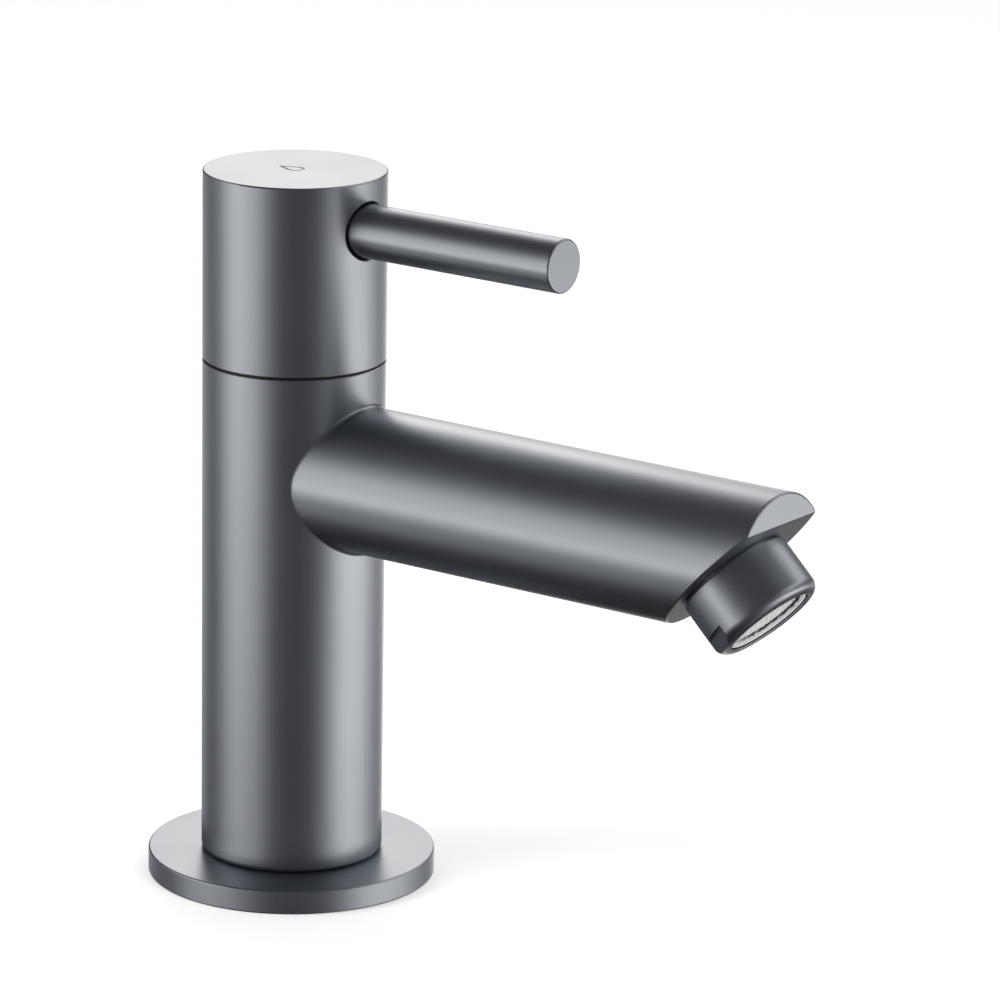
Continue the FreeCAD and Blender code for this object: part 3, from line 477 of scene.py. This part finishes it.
class TAP_OT_inner_pieces(bpy.types.Operator):
    """Give the valve, the seals, the hub's screw and the aerator's insert their finishes"""
    bl_idname = "basin_tap.inner_pieces"
    bl_label = "Inner Pieces"

    def execute(self, context):
        finish = context.scene.tap_finish
        give(brass_finish(finish), *BRASS)
        give(rubber_finish(finish), *RUBBER)
        give(ceramic_finish(finish), *CERAMIC)
        give(steel_finish(finish), *STEEL)
        give(silver_finish(finish), *SILVER)
        give(plastic_finish("white_nylon", finish.nylon, 0.42), *PLASTIC)
        give(plastic_finish("black_acetal", finish.glide, 0.38), "glide_ring")
        return {"FINISHED"}


class TAP_OT_outlet_weave(bpy.types.Operator):
    """Weave the outlet's wire mesh and stand it in the place of the flat one"""
    bl_idname = "basin_tap.outlet_weave"
    bl_label = "Outlet Weave"

    def execute(self, context):
        sizes = context.scene.tap_aerator
        centre, lean = aerator_frame()
        low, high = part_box("outlet_mesh")
        reach = (high.y - low.y) / 2
        mesh = bmesh.new()
        count = int(reach / sizes.pitch)
        for across in (False, True):
            for row in range(-count, count + 1):
                offset = row * sizes.pitch
                half = math.sqrt(max(reach ** 2 - offset ** 2, 0)) - sizes.wire / 4
                if half > sizes.pitch:
                    weave_wire(mesh, sizes, row, half, across)
        seat = Matrix.Translation(centre) @ lean @ Matrix.Translation((0, 0, -sizes.drop))
        bmesh.ops.transform(mesh, matrix=seat, verts=mesh.verts)
        silver = bpy.data.materials["pale_silver"]
        new_piece("outlet_weave", mesh, silver, "tap_body", ("outlet_mesh",))
        return {"FINISHED"}


def weave_wire(mesh, sizes, row, half, across):
    """One wire of the weave: a ring of points carried over and under the others."""
    wire = bmesh.new()
    count = int(2 * half / sizes.pitch * WIRE_STEPS)
    start = bmesh.ops.create_circle(wire, cap_ends=False, segments=WIRE_SIDES,
                                    radius=sizes.wire / 2)["verts"]
    bmesh.ops.transform(wire, matrix=Matrix.Rotation(QUARTER_TURN, 4, "Y"), verts=start)
    phase = row if across else row + 1

    def height(x):
        return sizes.wave * math.cos(math.pi * (x / sizes.pitch + phase))

    bmesh.ops.translate(wire, vec=(-half, row * sizes.pitch, height(-half)), verts=start)
    edges = []
    for vert in start:
        edges += [edge for edge in vert.link_edges if edge not in edges]
    bmesh.ops.edgeloop_fill(wire, edges=edges)
    for ring in range(1, count + 1):
        x0 = -half + 2 * half * (ring - 1) / count
        x1 = -half + 2 * half * ring / count
        new = bmesh.ops.extrude_edge_only(wire, edges=edges)["geom"]
        verts = [item for item in new if isinstance(item, bmesh.types.BMVert)]
        edges = [item for item in new if isinstance(item, bmesh.types.BMEdge)
                 and all(vert in verts for vert in item.verts)]
        bmesh.ops.translate(wire, vec=(x1 - x0, 0, height(x1) - height(x0)), verts=verts)
    bmesh.ops.edgeloop_fill(wire, edges=edges)
    if across:
        turn = Matrix.Rotation(QUARTER_TURN, 4, "Z")
        bmesh.ops.transform(wire, matrix=turn, verts=wire.verts)
    data = bpy.data.meshes.new("wire")
    wire.to_mesh(data)
    wire.free()
    mesh.from_mesh(data)
    bpy.data.meshes.remove(data)


def tent_light(nodes, azimuth):
    """The tent's brightness: dim cloth, darker above and below, with soft boxes behind it."""
    point = nodes.place(centre=TENT_CENTRE)
    outward, distance = distance_out(nodes, point)
    height = distance.math("ARCTAN2", nodes.part(point, "Z"), distance)
    above = nodes.step(height, TENT_ROOF_START, TENT_ROOF_START + TENT_FADE, DEGREE)
    below = nodes.step(height * -1, TENT_FLOOR_START, TENT_FLOOR_START + TENT_FADE, DEGREE)
    light = above * (TENT_ROOF - TENT_LEVEL) + below * (TENT_FLOOR - TENT_LEVEL) + TENT_LEVEL
    for turn, rise, half_width, half_height, side_fade, end_fade, level in SOFT_BOXES.values():
        angle = azimuth + math.radians(turn)
        toward = nodes.add("ShaderNodeVectorMath", {"operation": "DOT_PRODUCT"}, outward,
                           (math.sin(angle), -math.cos(angle), 0))
        toward = nodes.other(toward, "Value")
        aside = toward.math("ARCCOSINE", toward)
        apart = height.math("ABSOLUTE", height - math.radians(rise))
        side = nodes.step(aside, half_width - side_fade / 2, half_width + side_fade / 2, DEGREE)
        end = nodes.step(apart, half_height - end_fade / 2, half_height + end_fade / 2, DEGREE)
        light = light + (1 - side) * (1 - end) * level
    return light


def pitch_tent(scene, studio):
    """Stands the drum of cloth round the tap, where only the tap's reflections show it."""
    mesh = bmesh.new()
    bmesh.ops.create_cone(mesh, cap_ends=True, segments=ROUND_SIDES, radius1=TENT_RADIUS,
                          radius2=TENT_RADIUS, depth=2 * TENT_HALF_HEIGHT)
    bmesh.ops.translate(mesh, vec=TENT_CENTRE, verts=mesh.verts)
    data = bpy.data.meshes.new("tent")
    mesh.to_mesh(data)
    mesh.free()
    material, nodes = new_finish("tent_cloth")
    light = tent_light(nodes, studio.azimuth)
    warmth = nodes.step(light, TENT_DIM_LEVEL, TENT_BRIGHT_LEVEL, 1)
    colour = nodes.tint(warmth, TENT_DIM, TENT_BRIGHT)
    nodes.surface(nodes.add("ShaderNodeEmission", None, colour, light))
    material.cycles.emission_sampling = "NONE"
    data.materials.append(material)
    tent = bpy.data.objects.new("tent", data)
    scene.collection.objects.link(tent)
    for ray in ("camera", "diffuse", "transmission", "shadow", "volume_scatter"):
        setattr(tent, f"visible_{ray}", False)


class TAP_OT_studio(bpy.types.Operator):
    """Lay the floor, pitch the tent, hang the lamps and set the camera"""
    bl_idname = "basin_tap.studio"
    bl_label = "Studio"

    def execute(self, context):
        scene = context.scene
        studio = scene.tap_studio
        lay_floor(scene, studio)
        light_world(scene)
        pitch_tent(scene, studio)
        hang_lamps(scene)
        set_camera(scene, studio)
        scene.view_settings.view_transform = "Standard"
        return {"FINISHED"}


def seen_directly(nodes):
    """1 for camera, glossy and transmission rays, and 0 for the rest."""
    camera = nodes.add("ShaderNodeLightPath")
    seen = camera.math("MAXIMUM", camera, nodes.other(camera, "Is Glossy Ray"))
    return camera.math("MAXIMUM", seen, nodes.other(camera, "Is Transmission Ray"))


def lay_floor(scene, studio):
    """A matt white floor that keeps the tap's shadow and looks nearly as white as the world."""
    mesh = bmesh.new()
    bmesh.ops.create_circle(mesh, cap_ends=True, segments=ROUND_SIDES, radius=FLOOR_RADIUS)
    data = bpy.data.meshes.new("floor")
    mesh.to_mesh(data)
    mesh.free()
    material, nodes = new_finish("pale_floor")
    grain = nodes.noise(nodes.place(), 90, 2)
    paint = nodes.tint(grain, shade(studio.floor, 0.995), shade(studio.floor, 1.0))
    lit = nodes.add("ShaderNodeBsdfDiffuse", None, paint)
    white = nodes.add("ShaderNodeEmission", None, (1, 1, 1, 1), seen_directly(nodes) * FLOOR_GLOW)
    nodes.surface(nodes.add("ShaderNodeAddShader", None, lit, white))
    material.cycles.emission_sampling = "NONE"
    data.materials.append(material)
    floor = bpy.data.objects.new("floor", data)
    scene.collection.objects.link(floor)
    floor.visible_glossy = False


def light_world(scene):
    """A world that lights the tap at a plain level and looks white."""
    world = bpy.data.worlds.new("white_studio")
    scene.world = world
    nodes = Nodes(world)
    strength = seen_directly(nodes) * (1 - WORLD_LIGHT) + WORLD_LIGHT
    white = nodes.add("ShaderNodeBackground", None, (1, 1, 1, 1), strength)
    nodes.add("ShaderNodeOutputWorld", None, white)


def hang_lamps(scene):
    """Round lamps that face the tap, and that no reflection shows."""
    for name, place, size, power in LAMPS:
        data = bpy.data.lights.new(name, "AREA")
        data.shape = "DISK"
        data.size = size
        data.energy = power
        lamp = bpy.data.objects.new(name, data)
        scene.collection.objects.link(lamp)
        lamp.location = place
        lamp.rotation_mode = "QUATERNION"
        lamp.rotation_quaternion = (Vector(place) - Vector(LAMP_AIM)).to_track_quat("Z", "Y")
        lamp.visible_glossy = False


def set_camera(scene, studio):
    """Sets the camera at its angles and distance from the point that it looks at."""
    azimuth, rise, roll = studio.azimuth, studio.elevation, studio.roll
    back = Vector((math.sin(azimuth) * math.cos(rise), -math.cos(azimuth) * math.cos(rise),
                   math.sin(rise)))
    right = Vector((math.cos(azimuth), math.sin(azimuth), 0))
    up = back.cross(right)
    tilted_right = right * math.cos(roll) + up * math.sin(roll)
    tilted_up = up * math.cos(roll) - right * math.sin(roll)
    aim = right * studio.aim_side + Vector((0, 0, studio.aim_height))
    data = bpy.data.cameras.new("camera")
    data.lens = studio.lens
    data.sensor_width = SENSOR_WIDTH
    data.clip_start, data.clip_end = CAMERA_CLIP
    camera = bpy.data.objects.new("camera", data)
    scene.collection.objects.link(camera)
    matrix = Matrix((tilted_right, tilted_up, back)).transposed().to_4x4()
    matrix.translation = aim + back * studio.distance
    camera.matrix_world = matrix
    scene.camera = camera


class TAP_PT_panel(bpy.types.Panel):
    """Lists the steps that finish the basin tap"""
    bl_idname = "TAP_PT_panel"
    bl_label = "Basin Tap"
    bl_space_type = "VIEW_3D"
    bl_region_type = "UI"
    bl_category = "Basin Tap"

    def draw(self, context):
        layout = self.layout
        scene = context.scene
        for settings in (scene.tap_finish, scene.tap_aerator, scene.tap_studio):
            box = layout.box()
            for name in settings.__annotations__:
                box.prop(settings, name)
        for operator in OPERATORS:
            layout.operator(operator.bl_idname)


SETTINGS = {"tap_finish": TapFinishSettings, "tap_aerator": AeratorSettings,
            "tap_studio": StudioSettings}
OPERATORS = (TAP_OT_plated_pieces, TAP_OT_inner_pieces, TAP_OT_outlet_weave, TAP_OT_studio)


def register():
    for item in (*SETTINGS.values(), *OPERATORS, TAP_PT_panel):
        bpy.utils.register_class(item)
    for name, settings in SETTINGS.items():
        setattr(bpy.types.Scene, name, bpy.props.PointerProperty(type=settings))


def unregister():
    for name in SETTINGS:
        delattr(bpy.types.Scene, name)
    for item in reversed((*SETTINGS.values(), *OPERATORS, TAP_PT_panel)):
        bpy.utils.unregister_class(item)


def main():
    register()
    bpy.ops.basin_tap.plated_pieces()
    bpy.ops.basin_tap.inner_pieces()
    bpy.ops.basin_tap.outlet_weave()
    bpy.ops.basin_tap.studio()


if __name__ == "__main__":
    main()
